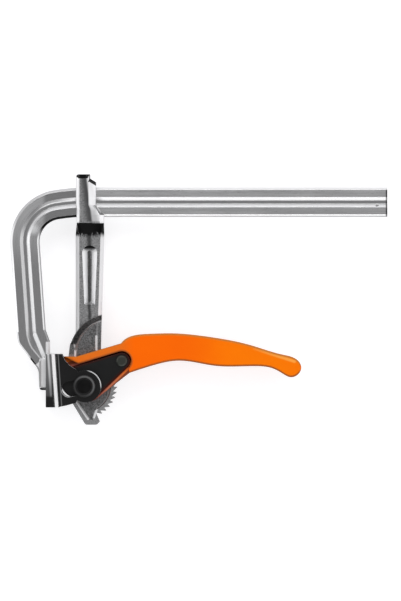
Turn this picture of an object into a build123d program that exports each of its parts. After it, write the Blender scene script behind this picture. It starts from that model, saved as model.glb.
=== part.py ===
from build123d import *
from math import cos, radians, sin
import os

os.makedirs("parts", exist_ok=True)

# A lever clamp with a ratchet, lying on its back. X runs along the bar to its free end, Y from the jaws
# to the bar, Z out of the front face. The origin is the middle of the fixed jaw's clamping face.

# Rail
throat_depth = 108.0
rail_depth = 20.4
rail_thickness = 9.5
rail_chamfer_depth = 1.6
rail_chamfer_thickness = 1.1
groove_mouth = 7.0
groove_floor = 2.2
groove_depth = 1.6
bar_end = 236.0
bend_radius = 26.0
ease_radius = 150.0
ease_angle = 9.0
leg_lean = 4.0
stake_inset = 7.0
stake_radius = 1.8
stake_depth = 1.2
stake_taper = 30.0
stake_offset = 1.8

# Forged toe and pad of the rail
toe_x = -13.2
toe_y = 28.0
heel_x = -22.3
heel_y = 19.6
heel_radius = 9.0
instep_x = -7.9
instep_y = 1.0
pad_thickness = 7.3
pad_half_height = 13.3
pad_half_width = 7.0
pad_top = 9.5
pad_corner = 2.0
pad_chamfer = 1.4
groove_turn_radius = 24.0
groove_turn = 26.0
groove_runout = 14.0

# Main pin and the stack of plates on it, as half widths measured from the middle plane
pin_x = 24.2
pin_y = -10.5
pin_radius = 4.0
pin_head_radius = 5.8
pin_head_height = 2.5
pin_head_edge = 0.7
washer_radius = 7.9
washer_thickness = 1.0
washer_edge = 0.3
plate_half = 4.5
side_gap = 0.3
wall_thickness = 2.0
cam_thickness = 2.5
cheek_thickness = 2.5
running_fit = 0.05
press_fit = 0.02

# Sliding arm
shank_left = 18.1
shank_right = 38.0
shank_foot_right = 35.6
shank_half = 7.0
shank_chamfer = 2.5
head_half = 11.0
head_rise = 19.3
head_drop = 14.6
head_taper = 7.7
head_left = 18.4
head_ridge = 28.4
ridge_lean = 1.2
head_right = 32.2
head_corner = 2.0
bevel_rise = 3.0
bevel_inset = 2.4
wing_right = 37.8
wing_low = 9.0
wing_high = 2.2
step_x = 28.0
step_drop = 2.8
step_slope = 3.2
slot_play = 0.7
slot_side_play = 0.35
recess_gap = 8.0
recess_length = 41.0
recess_top_width = 10.4
recess_foot_width = 7.4
recess_depth = 3.2
recess_floor_share = 0.33
waist_x = 42.0
waist_y = 11.9
waist_radius = 28.0
waist_slope = 4.2
panel_depth = 1.3
panel_taper = 25.0
hub_radius = 8.0
foot_radius = 27.0
foot_left = 0.7
foot_right = 8.7
foot_corner = 2.2
plate_reach = 11.2
plate_reach_drop = 2.1
plate_back = 8.2
plate_back_drop = 12.3
panel_left = 5.0
panel_left_drop = 11.5
panel_foot_left = 3.0
panel_foot_right = 6.2
panel_rim = 3.4
panel_rim_angle = 60.0
panel_arc_start = 111.7
panel_arc_end = 170.0
recess_x = 27.9

# Edges of the head and wing in X and Z, in from the side named and from the head's face
wing_left_edge = [(0.4, 1.8), (2.3, 0.0)]
wing_right_edge = [(2.8, 1.6), (0.0, 4.2)]
head_left_edge = [(0.0, 1.8), (1.9, 0.0)]
head_right_edge = [(0.6, 3.1), (0.0, 4.0)]

# Left edge of the shank's foot and of the plate under it, from the shank's left side and the waist's centre
shank_flare = [(0.0, 15.1), (-2.8, 9.7), (0.2, 1.1)]
plate_flare = [(0.0, 15.1), (-4.1, 6.6)]
shank_foot_rise = 1.1

# Toothed sector, concentric with the main pin
tooth_tip_radius = 22.75
tooth_root_radius = 20.3
tooth_pitch = 9.33
tooth_count = 10
first_tooth = -57.3
tooth_land = 1.2
tooth_rim = 1.8

# Cam plates, measured from the main pin
cam_reach = 17.2
cam_rise = 5.8
cam_sweep = 60.0
rivet_x = 26.1
rivet_y = 17.7
rivet_radius = 2.5
rivet_head_radius = 3.8
rivet_head_height = 1.5
rivet_head_edge = 0.9
sleeve_radius = 3.0
cam_end_radius = 5.6
cam_edge_angle = 44.0
cam_top_angle = 16.9
cam_corner_x = -11.5

# Pressure shoe, measured from the main pin
shoe_top = 22.5
shoe_bottom = 14.7
shoe_half_width = 15.4
shoe_nest = 2.6
shoe_gap = 0.3
shoe_bevel = 3.0
bevel_foot = 0.7
bevel_head = 2.1
channel_play = 0.6
channel_flare = 0.5
cheek_root = 1.0
cheek_crest = 1.8
cheek_hollow = (-11.6, 16.1)
cheek_shoulder = (-5.25, 11.6)
cheek_heel = (-6.0, -11.6)
cheek_foot = (-12.2, -13.4)
cheek_lobe_radius = 11.2
cheek_lobe_offset = 0.7
slot_radius = 5.5
slot_length = 10.5
slot_drop = 2.0

# Lever handle, with its outline from the lip along the top, round the tip and back along the underside
handle_wall = 2.2
handle_edge = 1.4
pocket_gap = 1.2
pocket_corner_x = -3.9
spine_start = 19.2
grip_start = 36.0
lip_tip = (-14.2, 20.7)
lip_root = (-5.6, 20.7)
wall_corner = (-13.2, 14.0)
wall_overlap = 10.0
ramp_foot = (25.6, 29.9)
shoulder_points = [(30.6, 34.1), (36.0, 35.7), (47.5, 36.6)]
spine_points = [*shoulder_points, (58.5, 36.9), (88.0, 34.3), (116.0, 28.7), (139.0, 21.9)]
hand_end = (144.0, 20.2)
tip_points = [(149.2, 18.0), (151.6, 13.4), (149.3, 8.2), (144.4, 6.2)]
underside_points = [(138.5, 8.8), (131.0, 12.6), (118.6, 14.0), (90.6, 14.3), (65.4, 17.8), (48.6, 14.7)]
throat_corner = (31.5, 9.2)
lobe_front_radius = 12.0
lobe_front_angle = -52.0
lobe_under_radius = 10.4
lobe_under_angle = -110.0
lobe_back_radius = 9.8
lobe_back_angle = 170.0

# Ratchet pawl, measured from the main pin
pawl_angle = 42.9
pawl_reach = 26.2
pawl_hub_radius = 2.8
pawl_pin_radius = 1.6
pawl_half = 4.2
pawl_engage = 9.0
seat_tooth = 7
nose_clearance = 0.6
nose_lead = 1.3
nose_back = 0.9
nose_width = 7.5

# Underside and top of the pawl's tail, measured from the pawl's pivot
pawl_tail = [
    (5.6, -11.8),
    (7.3, -9.6),
    (13.8, -9.0),
    (26.6, -6.0),
    (27.0, -3.6),
    (13.3, -6.3),
    (4.2, -6.6),
    (2.0, -2.0),
]

# Pawl spring, with the directions of its legs
spring_wire = 0.6
spring_turns = 3
spring_pitch = 0.9
spring_gap = 0.1
spine_leg_angle = 60.0
spine_leg_length = 13.6
tail_leg_angle = -2.0
tail_leg_length = 6.4

# Worked out from the sizes above
bar_axis = throat_depth + rail_depth / 2
half_depth = rail_depth / 2
half_thickness = rail_thickness / 2
wall_inner = plate_half + side_gap
wall_outer = wall_inner + wall_thickness
cam_outer = wall_outer + cam_thickness
cheek_inner = cam_outer + side_gap
cheek_outer = cheek_inner + cheek_thickness
washer_inner = cheek_outer + side_gap
washer_outer = washer_inner + washer_thickness
pin_length = 2 * (washer_outer + pin_head_height)


def polar(radius, angle):
    """Point at a radius and an angle in degrees about the local origin."""
    return (radius * cos(radians(angle)), radius * sin(radians(angle)))


def shifted(point, distance, angle):
    """Point moved by a distance in the direction of an angle in degrees."""
    return (point[0] + distance * cos(radians(angle)), point[1] + distance * sin(radians(angle)))


def across(y):
    """Plane that cuts the clamp square to Y; its local x is X, and extrusion runs towards +Y."""
    return Plane(origin=(0, y, 0), x_dir=(1, 0, 0), z_dir=(0, 1, 0))


def at_pin(z=0.0):
    """Plane square to the main pin, with its origin on the pin's axis."""
    return Plane(origin=(pin_x, pin_y, z))


def both_halves(half):
    """Closed outline from its upper half, given left to right as (x, z)."""
    return half + [(x, -z) for x, z in reversed(half)]


def nearest(points, x, y):
    """The vertex of a list that lies nearest to x, y."""
    return points.sort_by(lambda v: abs(v.X - x) + abs(v.Y - y))[0]


# Profile rail: one drawn bar, bent into the fixed arm, with a groove along each side
bend_angle = 90 + leg_lean - ease_angle
leg_rise = (
    bar_axis
    - toe_y
    - ease_radius * (1 - cos(radians(ease_angle)))
    - bend_radius * (cos(radians(ease_angle)) + sin(radians(leg_lean)))
)
leg_length = leg_rise / cos(radians(leg_lean))
ease_start = (
    toe_x
    - leg_length * sin(radians(leg_lean))
    + bend_radius * (cos(radians(leg_lean)) - sin(radians(ease_angle)))
    + ease_radius * sin(radians(ease_angle))
)
rail_start = Plane(origin=(bar_end, bar_axis, 0), x_dir=(0, 0, 1), z_dir=(-1, 0, 0))
leg_outer = shifted((toe_x, toe_y), half_depth, 180 + leg_lean)
leg_inner = shifted((toe_x, toe_y), half_depth, leg_lean)
groove_slope = (groove_mouth - groove_floor) / 2 / groove_depth
groove_over = 0.4


def groove_section(side, depth):
    """Trapezoid that cuts a groove, with its floor at the given depth under the rail's side."""
    floor = side * (half_thickness - depth)
    mouth = side * (half_thickness + groove_over)
    mouth_half = groove_floor / 2 + groove_slope * (depth + groove_over)
    return [
        (floor, -groove_floor / 2),
        (floor, groove_floor / 2),
        (mouth, mouth_half),
        (mouth, -mouth_half),
    ]


with BuildLine() as groove_path:
    groove_bar = Line((bar_end + 1, bar_axis), (ease_start, bar_axis))
    groove_ease = JernArc(groove_bar @ 1, groove_bar % 1, ease_radius, ease_angle)
    groove_bend = JernArc(groove_ease @ 1, groove_ease % 1, bend_radius, bend_angle)
    groove_leg = Line(groove_bend @ 1, (toe_x, toe_y))
    groove_toe = JernArc(groove_leg @ 1, groove_leg % 1, groove_turn_radius, groove_turn)
groove_entry = Plane(origin=groove_bar @ 0, x_dir=(0, 0, 1), z_dir=(-1, 0, 0))
groove_exit = Plane(origin=groove_toe @ 1, x_dir=(0, 0, 1), z_dir=groove_toe % 1)

# The toe narrows from the leg down to the pad
with BuildPart() as toe_blank:
    with BuildSketch(Plane.XY) as toe_outline:
        with BuildLine():
            Polyline(
                leg_outer,
                (heel_x, heel_y),
                (instep_x, instep_y),
                (-pad_thickness, -pad_half_height),
                (0, -pad_half_height),
                (0, heel_y + 1),
                leg_inner,
                close=True,
            )
        make_face()
        fillet(nearest(toe_outline.vertices(), heel_x, heel_y), heel_radius)
        fillet(nearest(toe_outline.vertices(), instep_x, instep_y), heel_radius)
        fillet(toe_outline.vertices().group_by(Axis.Y)[0], pad_corner)
    extrude(amount=half_thickness, both=True)
    toe_rim = toe_blank.edges().filter_by(lambda e: abs((e @ 0.5).Z) > half_thickness - 0.01)
    chamfer(toe_rim.filter_by(lambda e: (e @ 0.5).Y < toe_y - 1.0), rail_chamfer_thickness)

# The pad is forged wider than the bar
with BuildPart() as pad_blank:
    with BuildSketch(Plane.XY):
        with Locations((-pad_thickness / 2, (pad_top - pad_half_height) / 2)):
            RectangleRounded(pad_thickness, pad_top + pad_half_height, pad_corner)
    extrude(amount=pad_half_width, both=True)
    chamfer(pad_blank.edges().filter_by(lambda e: abs((e @ 0.5).Z) > pad_half_width - 0.01), pad_chamfer)

with BuildPart() as profile_rail:
    with BuildLine() as rail_path:
        bar_line = Line((bar_end, bar_axis), (ease_start, bar_axis))
        ease_arc = JernArc(bar_line @ 1, bar_line % 1, ease_radius, ease_angle)
        bend_arc = JernArc(ease_arc @ 1, ease_arc % 1, bend_radius, bend_angle)
        Line(bend_arc @ 1, (toe_x, toe_y))
    with BuildSketch(rail_start):
        with BuildLine():
            Polyline(
                (half_thickness, -half_depth + rail_chamfer_depth),
                (half_thickness, half_depth - rail_chamfer_depth),
                (half_thickness - rail_chamfer_thickness, half_depth),
                (-half_thickness + rail_chamfer_thickness, half_depth),
                (-half_thickness, half_depth - rail_chamfer_depth),
                (-half_thickness, -half_depth + rail_chamfer_depth),
                (-half_thickness + rail_chamfer_thickness, -half_depth),
                (half_thickness - rail_chamfer_thickness, -half_depth),
                close=True,
            )
        make_face()
    sweep(path=rail_path.wire())
    add(toe_blank.part)
    add(pad_blank.part)
    # A groove runs along each side and fades out on the toe
    for side in (1, -1):
        with BuildSketch(groove_entry):
            with BuildLine():
                Polyline(*groove_section(side, groove_depth), close=True)
            make_face()
        sweep(path=groove_path.wire(), mode=Mode.SUBTRACT)
        with BuildSketch(groove_exit):
            with BuildLine():
                Polyline(*groove_section(side, groove_depth), close=True)
            make_face()
        with BuildSketch(groove_exit.offset(groove_runout)):
            with BuildLine():
                Polyline(*groove_section(side, 0), close=True)
            make_face()
        loft(ruled=True, mode=Mode.SUBTRACT)
    # Stake marks at the free end keep the arm on the bar
    for side in (1, -1):
        stake_place = (bar_end - stake_inset, bar_axis - stake_offset, side * half_thickness)
        with BuildSketch(Plane(origin=stake_place, z_dir=(0, 0, -side))):
            Circle(stake_radius)
        extrude(amount=stake_depth, taper=stake_taper, mode=Mode.SUBTRACT)

profile_rail.part.label = "profile_rail"
export_step(profile_rail.part, "parts/profile_rail.step")


# Sliding arm: head around the rail, tapered shank, thin plate with the toothed sector
head_top = bar_axis + head_rise
head_foot = bar_axis - head_drop
shank_top = head_foot - head_taper
foot_angle = first_tooth - tooth_pitch
recess_head = shank_top - recess_gap - recess_top_width / 2
recess_foot = shank_top - recess_gap - recess_length
rim_radius = tooth_root_radius - tooth_rim
waist_inner = waist_radius - waist_slope

shank_section = [
    (shank_left, shank_half - shank_chamfer),
    (shank_left + shank_chamfer, shank_half),
    (head_ridge, shank_half),
    (shank_right - shank_chamfer, shank_half),
    (shank_right, shank_half - shank_chamfer),
]


def head_section(left_edge, ridge, right, right_edge):
    """Half outline of the head, across Y, from its left edge over the ridge to its right edge."""
    left_points = [(head_left + x, head_half - z) for x, z in left_edge]
    right_points = [(right - x, head_half - z) for x, z in right_edge]
    return [*left_points, (ridge, head_half), *right_points]


wing_section = head_section(wing_left_edge, head_ridge, wing_right, wing_right_edge)
middle_section = head_section(head_left_edge, head_ridge - ridge_lean, head_right, head_right_edge)
top_section = head_section(head_left_edge, head_ridge - 2 * ridge_lean, head_right, head_right_edge)


def crown_outline(drop):
    """Space over the head, with its rounded corner and the step away from the jaws, lowered by a drop."""
    top = head_top - drop
    step = step_x - drop / 2
    corner_centre = (head_left + head_corner, top - head_corner)
    rounding = ThreePointArc(
        shifted(corner_centre, head_corner, 180),
        shifted(corner_centre, head_corner, 135),
        shifted(corner_centre, head_corner, 90),
    )
    Polyline(
        rounding @ 1,
        (step, top),
        (step, top - step_drop),
        (head_right + 1, top - step_drop - step_slope),
        (head_right + 1, head_top + 1),
        (head_left - 1, head_top + 1),
        (head_left - 1, top - head_corner),
        rounding @ 0,
    )


# Thick part of the shank, before the waist is cut
with BuildPart() as shank_blank:
    with BuildSketch(Plane.XY):
        with BuildLine():
            Polyline(
                (shank_left, shank_top),
                *[(shank_left + x, waist_y + y) for x, y in shank_flare],
                (shank_foot_right, waist_y + shank_foot_rise),
                (shank_right, shank_top),
                close=True,
            )
        make_face()
    extrude(amount=shank_half, both=True)
    shank_rim = shank_blank.edges().filter_by(lambda e: abs((e @ 0.5).Z) > shank_half - 0.01)
    flare_middle = waist_y + shank_flare[1][1] - 0.7
    shank_rim = shank_rim.filter_by(lambda e: shank_top - 0.1 > (e @ 0.5).Y > flare_middle)
    chamfer(shank_rim, shank_chamfer)

with BuildPart() as sliding_arm:
    head_levels = [
        (shank_top, shank_section),
        (head_foot, wing_section),
        (bar_axis - wing_low, wing_section),
        (bar_axis - wing_high, middle_section),
        (head_top, top_section),
    ]
    for level, outline in head_levels:
        with BuildSketch(across(level)):
            with BuildLine():
                Polyline(*both_halves(outline), close=True)
            make_face()
    loft(ruled=True)
    # The head's top, with its step, and a deep bevel along the front of it
    with BuildSketch(Plane.XY):
        with BuildLine():
            crown_outline(0)
        make_face()
    extrude(amount=head_half + 1, both=True, mode=Mode.SUBTRACT)
    for level, drop in ((head_half - bevel_inset, 0), (head_half, bevel_rise)):
        with BuildSketch(Plane.XY.offset(level)):
            with BuildLine():
                crown_outline(drop)
            make_face()
    loft(ruled=True, mode=Mode.SUBTRACT)
    add(shank_blank.part)
    # Waist: the shank thins down to the plate along a round shoulder
    with Locations((waist_x, waist_y, plate_half)):
        Cone(
            waist_inner,
            waist_radius + waist_slope,
            2 * (shank_half - plate_half),
            align=(Align.CENTER, Align.CENTER, Align.MIN),
            mode=Mode.SUBTRACT,
        )
    # Lower plate with the foot, and the blank of the toothed sector
    with BuildSketch(Plane.XY) as lower_plate:
        with BuildLine():
            Polyline(
                (shank_left, waist_y + waist_radius),
                *[(shank_left + x, waist_y + y) for x, y in plate_flare],
                (pin_x - plate_reach, waist_y - plate_reach_drop),
                (pin_x - plate_back, pin_y - plate_back_drop),
                (pin_x + foot_left, pin_y - foot_radius),
                (pin_x + foot_right, pin_y - foot_radius),
                shifted((pin_x, pin_y), foot_radius, foot_angle),
                shifted((pin_x, pin_y), rim_radius, foot_angle),
                (shank_foot_right, pin_y + rim_radius),
                (shank_foot_right, waist_y),
                (shank_foot_right + 0.8, waist_y + waist_radius),
                close=True,
            )
        make_face()
        fillet(lower_plate.vertices().group_by(Axis.Y)[0], foot_corner)
    extrude(amount=plate_half, both=True)
    with BuildSketch(at_pin()):
        Circle(tooth_tip_radius)
        with Locations((-tooth_tip_radius / 2, 0)):
            Rectangle(tooth_tip_radius, 2 * tooth_tip_radius, mode=Mode.SUBTRACT)
    extrude(amount=plate_half, both=True)
    # Ratchet teeth: steep faces towards the bar, backs sloping away from it
    with BuildSketch(at_pin()):
        for index in range(-1, tooth_count):
            steep = first_tooth + index * tooth_pitch
            back = steep + tooth_pitch - tooth_land
            with BuildLine():
                Polyline(
                    polar(tooth_root_radius, steep),
                    polar(tooth_tip_radius + 1, steep),
                    polar(tooth_tip_radius + 1, back),
                    polar(tooth_tip_radius, back),
                    close=True,
                )
            make_face()
    extrude(amount=plate_half, both=True, mode=Mode.SUBTRACT)
    # Sunk panel inside the plate's rim, with a hub left round the pin
    with BuildSketch(Plane.XY.offset(plate_half)):
        with BuildLine():
            waist_arc = ThreePointArc(
                shifted((waist_x, waist_y), waist_inner, panel_arc_start),
                shifted((waist_x, waist_y), waist_inner, (panel_arc_start + panel_arc_end) / 2),
                shifted((waist_x, waist_y), waist_inner, panel_arc_end),
            )
            rim_arc = ThreePointArc(
                shifted((pin_x, pin_y), rim_radius, foot_angle),
                shifted((pin_x, pin_y), rim_radius, 0),
                shifted((pin_x, pin_y), rim_radius, panel_rim_angle),
            )
            Polyline(
                waist_arc @ 1,
                (pin_x - panel_left, pin_y - panel_left_drop),
                (pin_x + panel_foot_left, pin_y - foot_radius + panel_rim),
                (pin_x + panel_foot_right, pin_y - foot_radius + panel_rim),
                rim_arc @ 0,
            )
            Line(rim_arc @ 1, waist_arc @ 0)
        make_face()
        with Locations((pin_x, pin_y)):
            Circle(hub_radius, mode=Mode.SUBTRACT)
    extrude(amount=-panel_depth, taper=panel_taper, mode=Mode.SUBTRACT)
    # Tapered recess in the shank, round at its head, with sides sloping to a narrow floor
    for level, share in ((shank_half + 0.01, 1.0), (shank_half - recess_depth, recess_floor_share)):
        with BuildSketch(Plane.XY.offset(level)):
            with BuildLine():
                head_half_width = share * recess_top_width / 2
                foot_half_width = share * recess_foot_width / 2
                foot_end = recess_foot + (recess_foot_width / 2 - foot_half_width) / 2
                recess_arc = ThreePointArc(
                    (recess_x + head_half_width, recess_head),
                    (recess_x, recess_head + head_half_width),
                    (recess_x - head_half_width, recess_head),
                )
                Polyline(
                    recess_arc @ 1,
                    (recess_x - foot_half_width, foot_end),
                    (recess_x + foot_half_width, foot_end),
                    recess_arc @ 0,
                )
            make_face()
    loft(ruled=True, mode=Mode.SUBTRACT)
    # Slot for the rail, with play so that the arm can tilt and lock
    with Locations(((shank_left + shank_right) / 2, bar_axis, 0)):
        Box(
            2 * (shank_right - shank_left),
            rail_depth + 2 * slot_play,
            rail_thickness + 2 * slot_side_play,
            mode=Mode.SUBTRACT,
        )
    with Locations((pin_x, pin_y, 0)):
        Hole(pin_radius + press_fit)
    # Both faces are alike
    split(bisect_by=Plane.XY)
    mirror(about=Plane.XY)

sliding_arm.part.label = "sliding_arm"
export_step(sliding_arm.part, "parts/sliding_arm.step")


# Main pin, riveted over a washer at each end
with BuildPart() as main_pin:
    with BuildSketch(at_pin(-pin_length / 2)):
        Circle(pin_radius)
    extrude(amount=pin_length)
    for side in (1, -1):
        with BuildSketch(Plane((pin_x, pin_y, side * washer_outer), z_dir=(0, 0, side))):
            Circle(pin_head_radius)
        extrude(amount=pin_head_height)
    end_rims = main_pin.edges().filter_by(lambda e: abs((e @ 0).Z) > pin_length / 2 - 0.01)
    chamfer(end_rims, pin_head_edge)

main_pin.part.label = "main_pin"
export_step(main_pin.part, "parts/main_pin.step")


def washer(side):
    """Washer between the shoe's cheek and a pin head; side is 1 in front and -1 behind."""
    with BuildPart() as ring:
        with BuildSketch(Plane((pin_x, pin_y, side * washer_inner), z_dir=(0, 0, side))):
            Circle(washer_radius)
            Circle(pin_radius + running_fit, mode=Mode.SUBTRACT)
        extrude(amount=washer_thickness)
        rims = ring.edges().filter_by(GeomType.CIRCLE).filter_by(lambda e: e.radius > washer_radius - 0.01)
        chamfer(rims.filter_by(lambda e: abs((e @ 0).Z) > washer_outer - 0.01), washer_edge)
    return ring.part


for side, node in ((1, "pin_washer_front"), (-1, "pin_washer_rear")):
    pin_washer = washer(side)
    pin_washer.label = node
    export_step(pin_washer, f"parts/{node}.step")


# Cam plates: the edge that pushes the shoe is an involute, so the shoe moves evenly with the lever
rivet = (rivet_x, rivet_y)


def cam_point(opening):
    """Point of the cam's edge that touches the shoe when the lever is opened by an angle in degrees."""
    face = radians(180 + opening)
    reach = cam_reach - cam_rise * radians(opening)
    return (reach * cos(face) + cam_rise * sin(face), reach * sin(face) - cam_rise * cos(face))


def cam_outline():
    """Edges of a cam plate, measured from the main pin."""
    leaving_angle = cam_sweep - 90
    leaving = polar(1, leaving_angle)
    along = polar(1, cam_edge_angle)
    edge_foot = shifted(rivet, cam_end_radius, cam_edge_angle - 90)
    end_middle = shifted(rivet, cam_end_radius, (cam_edge_angle + cam_top_angle) / 2)
    top_foot = shifted(rivet, cam_end_radius, cam_top_angle + 90)
    top_length = (top_foot[0] - cam_corner_x) / cos(radians(cam_top_angle))
    corner = shifted(top_foot, top_length, cam_top_angle + 180)
    face_points = [cam_point(cam_sweep * step / 4) for step in range(5)]
    face = Spline(*face_points, tangents=((0, -1), leaving))
    # The belly is the arc that is tangent to the face's end and to the straight edge
    gap_x = (face @ 1).X - edge_foot[0]
    gap_y = (face @ 1).Y - edge_foot[1]
    bend_x = along[1] - leaving[1]
    bend_y = leaving[0] - along[0]
    belly_radius = (gap_y * along[0] - gap_x * along[1]) / (bend_x * along[1] - bend_y * along[0])
    belly = JernArc(face @ 1, leaving, belly_radius, cam_edge_angle - leaving_angle)
    Line(belly @ 1, edge_foot)
    ThreePointArc(edge_foot, end_middle, top_foot)
    Line(top_foot, corner)
    TangentArc(face @ 0, corner, tangent=(0, 1))


def cam_plate(side):
    """One cam plate; side is 1 in front and -1 behind."""
    with BuildPart() as plate:
        with BuildSketch(at_pin(wall_outer if side > 0 else -cam_outer)):
            with BuildLine():
                cam_outline()
            make_face()
            Circle(pin_radius + running_fit, mode=Mode.SUBTRACT)
            with Locations(rivet):
                Circle(rivet_radius + press_fit, mode=Mode.SUBTRACT)
        extrude(amount=cam_thickness)
    return plate.part


for side, node in ((1, "cam_plate_front"), (-1, "cam_plate_rear")):
    cam = cam_plate(side)
    cam.label = node
    export_step(cam, f"parts/{node}.step")


# Pressure shoe: channelled face with a slotted cheek on each side of the cams
nest_x = -pin_x - shoe_nest
face_back = -cam_reach - shoe_gap
channel_half = pad_half_width + channel_play


def shoe_section(bevel_end):
    """Face block in X and Z, with the channel that takes the fixed pad; its bevels end at bevel_end."""
    half = [
        (nest_x, shoe_half_width),
        (bevel_end - shoe_bevel, shoe_half_width),
        (bevel_end, cheek_outer),
        (face_back, cheek_outer),
    ]
    channel = [
        (nest_x, -channel_half - channel_flare),
        (-pin_x + shoe_gap, -channel_half),
        (-pin_x + shoe_gap, channel_half),
        (nest_x, channel_half + channel_flare),
    ]
    return [(pin_x + x, z) for x, z in both_halves(half) + channel]


with BuildPart() as pressure_shoe:
    for level, bevel_end in (
        (pin_y - shoe_bottom, face_back - bevel_foot),
        (pin_y + shoe_top, face_back - bevel_head),
    ):
        with BuildSketch(across(level)):
            with BuildLine():
                Polyline(*shoe_section(bevel_end), close=True)
            make_face()
    loft(ruled=True)
    for side in (1, -1):
        with BuildSketch(at_pin(cheek_inner if side > 0 else -cheek_outer)):
            with BuildLine():
                Polyline(
                    (face_back - cheek_root, -shoe_bottom),
                    (face_back - cheek_root, shoe_top),
                    (face_back + cheek_crest, shoe_top),
                )
                ThreePointArc((face_back + cheek_crest, shoe_top), cheek_hollow, cheek_shoulder)
                Polyline(
                    cheek_shoulder,
                    (0, 0),
                    cheek_heel,
                    cheek_foot,
                    (face_back - cheek_root, -shoe_bottom),
                )
            make_face()
            with Locations((cheek_lobe_offset, 0)):
                Circle(cheek_lobe_radius)
            # Slot for the pin, so that the shoe can move on it
            with BuildLine():
                Polyline(
                    (0, slot_radius),
                    (-slot_length, slot_radius - slot_drop),
                    (-slot_length, -slot_radius - slot_drop),
                    (0, -slot_radius),
                    close=True,
                )
            make_face(mode=Mode.SUBTRACT)
            with Locations((0, 0), (-slot_length, -slot_drop)):
                Circle(slot_radius, mode=Mode.SUBTRACT)
        extrude(amount=cheek_thickness)

pressure_shoe.part.label = "pressure_shoe"
export_step(pressure_shoe.part, "parts/pressure_shoe.step")


# Lever handle: cast channel, open on the side away from the bar, with side walls beside the arm's plate
ramp_slope = (ramp_foot[1] - lip_root[1]) / (ramp_foot[0] - lip_root[0])
spine_mouth = (spine_start, ramp_foot[1] - handle_wall - ramp_slope * (ramp_foot[0] - spine_start))
pocket_radius = cam_end_radius + pocket_gap
pocket_foot = shifted(rivet, pocket_radius, cam_edge_angle - 90)
pocket_end = shifted(rivet, pocket_radius, (cam_edge_angle + cam_top_angle) / 2)
pocket_top = shifted(rivet, pocket_radius, cam_top_angle + 90)
pocket_length = (pocket_top[0] - pocket_corner_x) / cos(radians(cam_top_angle))
pocket_corner = shifted(pocket_top, pocket_length, cam_top_angle + 180)
pawl_pivot = polar(pawl_reach, pawl_angle)
grip_inner = cam_outer - handle_wall
beyond = 2 * hand_end[0]


def under_spine():
    """Line one wall's thickness below the handle's top, from the ramp's foot to the end of the hollow."""
    return Spline(*[(x, y - handle_wall) for x, y in (ramp_foot, *spine_points, hand_end)])


# Full width of the handle, with the pocket's edge beside the cam plates
with BuildPart() as grip_blank:
    with BuildSketch(at_pin()):
        with BuildLine():
            Polyline(lip_tip, lip_root, ramp_foot)
            Spline(ramp_foot, *spine_points, *tip_points, *underside_points, throat_corner)
            Line(throat_corner, pocket_foot)
            ThreePointArc(pocket_foot, pocket_end, pocket_top)
            Polyline(pocket_top, pocket_corner, lip_tip)
        make_face()
    extrude(amount=cam_outer, both=True)
    grip_rim = grip_blank.edges().filter_by(lambda e: abs((e @ 0.5).Z) > cam_outer - 0.01)
    fillet(grip_rim.sort_by(Edge.length)[-2:], handle_edge)

with BuildPart() as lever_handle:
    with BuildSketch(at_pin()):
        with BuildLine():
            Polyline(
                polar(lobe_back_radius, lobe_back_angle),
                wall_corner,
                lip_tip,
                lip_root,
                ramp_foot,
                (ramp_foot[0] + wall_overlap, ramp_foot[1]),
                throat_corner,
                polar(lobe_front_radius, lobe_front_angle),
            )
            ThreePointArc(
                polar(lobe_front_radius, lobe_front_angle),
                polar(lobe_under_radius, lobe_under_angle),
                polar(lobe_back_radius, lobe_back_angle),
            )
        make_face()
    extrude(amount=wall_outer, both=True)
    add(grip_blank.part)
    # Room for the arm's plate and the pawl, open through the top as far as the spine
    with BuildSketch(at_pin()):
        with BuildLine():
            spine = under_spine()
            Polyline(
                spine @ 1,
                (hand_end[0], -beyond),
                (-beyond, -beyond),
                (-beyond, beyond),
                (spine_start, beyond),
                spine_mouth,
                spine @ 0,
            )
        make_face()
    extrude(amount=wall_inner, both=True, mode=Mode.SUBTRACT)
    # Hollow of the grip, wider than the room for the plate
    with BuildSketch(at_pin()):
        with BuildLine():
            spine = under_spine()
            Polyline(spine @ 1, (hand_end[0], -beyond), (ramp_foot[0], -beyond), spine @ 0)
        make_face()
        with Locations((grip_start, 0)):
            Rectangle(beyond, 2 * beyond, align=(Align.MIN, Align.CENTER), mode=Mode.INTERSECT)
    extrude(amount=grip_inner, both=True, mode=Mode.SUBTRACT)
    with Locations((pin_x, pin_y, 0)):
        Hole(pin_radius + running_fit)
    with Locations((pin_x + rivet_x, pin_y + rivet_y, 0)):
        Hole(rivet_radius + press_fit)
    with Locations((pin_x + pawl_pivot[0], pin_y + pawl_pivot[1], 0)):
        Hole(pawl_pin_radius + press_fit)

lever_handle.part.label = "lever_handle"
export_step(lever_handle.part, "parts/lever_handle.step")


# Rivet through cam plates and handle, with a spacer sleeve between the handle's walls
def at_rivet(z, z_dir=1):
    """Plane square to the rivet, with its origin on the rivet's axis."""
    return Plane(origin=(pin_x + rivet_x, pin_y + rivet_y, z), z_dir=(0, 0, z_dir))


with BuildPart() as handle_rivet:
    with BuildSketch(at_rivet(-cam_outer)):
        Circle(rivet_radius)
    extrude(amount=2 * cam_outer)
    for side in (1, -1):
        with BuildSketch(at_rivet(side * cam_outer, side)):
            Circle(rivet_head_radius)
        extrude(amount=rivet_head_height)
    head_top_z = cam_outer + rivet_head_height
    dome_rims = handle_rivet.edges().filter_by(GeomType.CIRCLE)
    chamfer(dome_rims.filter_by(lambda e: abs((e @ 0).Z) > head_top_z - 0.01), rivet_head_edge)

handle_rivet.part.label = "handle_rivet"
export_step(handle_rivet.part, "parts/handle_rivet.step")

with BuildPart() as rivet_sleeve:
    with BuildSketch(at_rivet(-wall_inner)):
        Circle(sleeve_radius)
        Circle(rivet_radius + running_fit, mode=Mode.SUBTRACT)
    extrude(amount=2 * wall_inner)

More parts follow.
